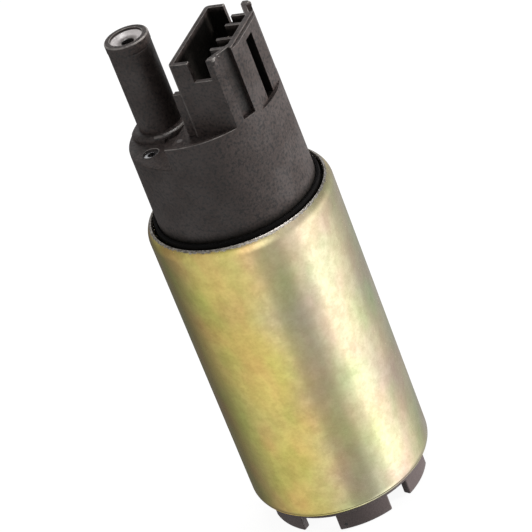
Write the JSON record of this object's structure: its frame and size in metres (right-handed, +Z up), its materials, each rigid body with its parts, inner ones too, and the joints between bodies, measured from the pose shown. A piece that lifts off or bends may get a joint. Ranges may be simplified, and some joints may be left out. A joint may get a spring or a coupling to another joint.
{
  "type": "electric fuel pump",
  "caption": "In-tank electric turbine fuel pump: rolled steel can, outlet tube with check valve, two-way connector socket and castellated inlet cover.",
  "frame": {"origin": "on the motor shaft's axis, in the plane of the inlet cover's feet", "axes": "+Z up the motor shaft towards the outlet, +X from the outlet tube towards the flat back of the connector"},
  "size_m": [0.038, 0.038, 0.1099],
  "materials": {
    "plated_steel": "yellow chromate plating over zinc, satin with an iridescent sheen",
    "black_plastic": "glass-filled black moulding with a fine matt grain",
    "seal_rubber": "smooth moulded rubber",
    "natural_plastic": "unpigmented acetal, light grey and slightly translucent",
    "tinned_brass": "tinned, satin",
    "ferrite": "sintered ferrite, dark grey and dull",
    "enamelled_copper": "enamelled copper wire, glossy",
    "brush_carbon": "pressed copper and graphite, dull",
    "sintered_bronze": "porous sintered bronze, oiled",
    "magnet_ferrite": "ground ferrite segment",
    "spring_steel": "drawn stainless spring wire and strip",
    "shaft_steel": "ground steel",
    "lamination": "stacked electrical steel, coated edges",
    "winding": "enamelled copper in varnish",
    "resin": "brown moulded resin",
    "copper": "turned copper segments",
    "impeller_plastic": "phenolic, dark brown black",
    "cast_aluminium": "die cast, machined on its faces",
    "valve_rubber": "flat moulded washer"
  },
  "bodies": {
    "housing": {"can": "plated_steel", "top_cover": "black_plastic", "cover_seal": "seal_rubber", "outlet_insert": "natural_plastic", "check_valve_spring": "spring_steel", "relief_spring": "spring_steel", "relief_ring": "shaft_steel", "upper_bush": "sintered_bronze", "lower_bush": "sintered_bronze", "magnet_front": "magnet_ferrite", "magnet_rear": "magnet_ferrite", "magnet_clip_left": "spring_steel", "magnet_clip_right": "spring_steel", "pump_casing": "cast_aluminium", "inlet_cover": "black_plastic", "thrust_pad": "shaft_steel", "terminal_left": "tinned_brass", "choke_core_left": "ferrite", "choke_coil_left": "enamelled_copper", "choke_link_left": "enamelled_copper", "brush_spring_left": "spring_steel", "brush_lead_left": "copper", "terminal_right": "tinned_brass", "choke_core_right": "ferrite", "choke_coil_right": "enamelled_copper", "choke_link_right": "enamelled_copper", "brush_spring_right": "spring_steel", "brush_lead_right": "copper"},
    "rotor": {"shaft": "shaft_steel", "armature_core": "lamination", "armature_windings": "winding", "commutator_base": "resin", "commutator_segments": "copper", "impeller": "impeller_plastic"},
    "check_valve": {"check_valve_poppet": "natural_plastic", "check_valve_washer": "valve_rubber"},
    "relief_valve": {"relief_ball": "shaft_steel"},
    "left_brush": {"brush_left": "brush_carbon"},
    "right_brush": {"brush_right": "brush_carbon"}
  },
  "joints": [
    {"name": "rotor_spin", "type": "hinge", "parent": "housing", "child": "rotor", "pos_m": [0, 0, 0.04], "axis": [0, 0, 1], "continuous": true},
    {"name": "check_valve_lift", "type": "slide", "parent": "housing", "child": "check_valve", "axis": [0, 0, 1], "range_m": [0, 0.002], "stiffness_N_per_m": 60, "springref_m": -0.004, "deforming": ["check_valve_spring"]},
    {"name": "relief_valve_lift", "type": "slide", "parent": "housing", "child": "relief_valve", "axis": [0, 0, 1], "range_m": [0, 0.001], "stiffness_N_per_m": 400, "springref_m": -0.003, "deforming": ["relief_spring"]},
    {"name": "brush_left_lift", "type": "slide", "parent": "housing", "child": "left_brush", "axis": [0, 0, 1], "range_m": [0, 0.003], "stiffness_N_per_m": 50, "springref_m": -0.006, "deforming": ["brush_spring_left", "brush_lead_left"]},
    {"name": "brush_right_lift", "type": "slide", "parent": "housing", "child": "right_brush", "axis": [0, 0, 1], "range_m": [0, 0.003], "stiffness_N_per_m": 50, "springref_m": -0.006, "deforming": ["brush_spring_right", "brush_lead_right"]}
  ]
}
